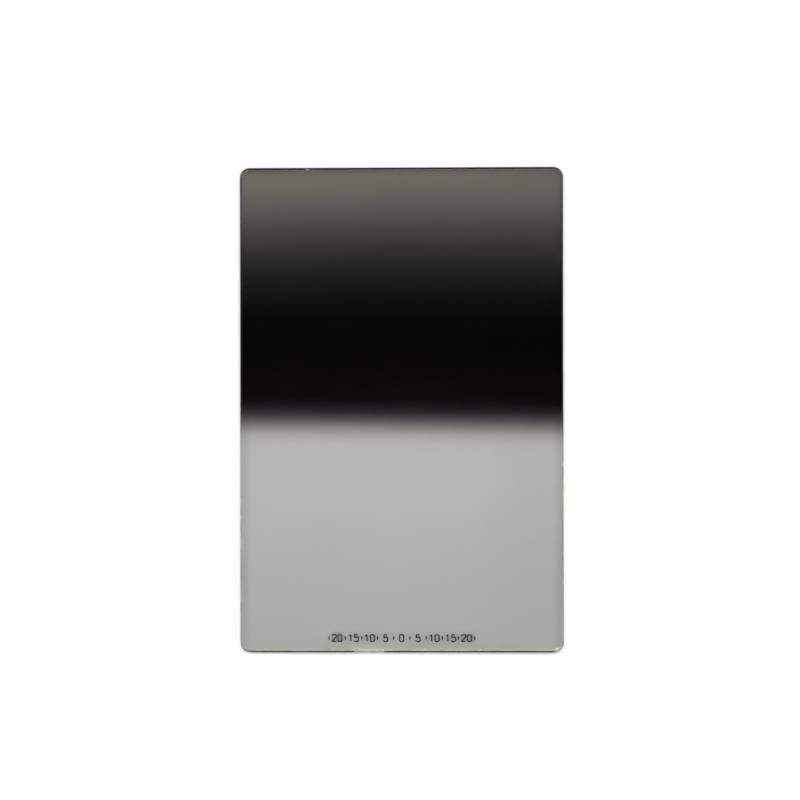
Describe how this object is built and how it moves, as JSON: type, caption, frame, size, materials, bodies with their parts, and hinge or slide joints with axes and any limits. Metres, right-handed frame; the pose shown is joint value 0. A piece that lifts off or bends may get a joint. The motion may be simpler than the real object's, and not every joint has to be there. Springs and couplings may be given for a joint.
{
  "type": "rectangular graduated neutral density filter",
  "caption": "Flat rectangular plate of clear resin with rounded corners and rounded edges. A grey tint is darkest across the middle, fades towards the top and leaves the lower half clear.",
  "frame": {"origin": "middle of the back face, which the plate lies on", "axes": "+X across the plate, +Y along it towards the dyed end, +Z out of the front face along the line of sight through the filter"},
  "size_m": [0.1, 0.15, 0.002],
  "materials": {
    "dyed_resin": "polished",
    "printing_ink": "matte"
  },
  "bodies": {
    "root": {"filter_plate": "dyed_resin"}
  },
  "joints": []
}
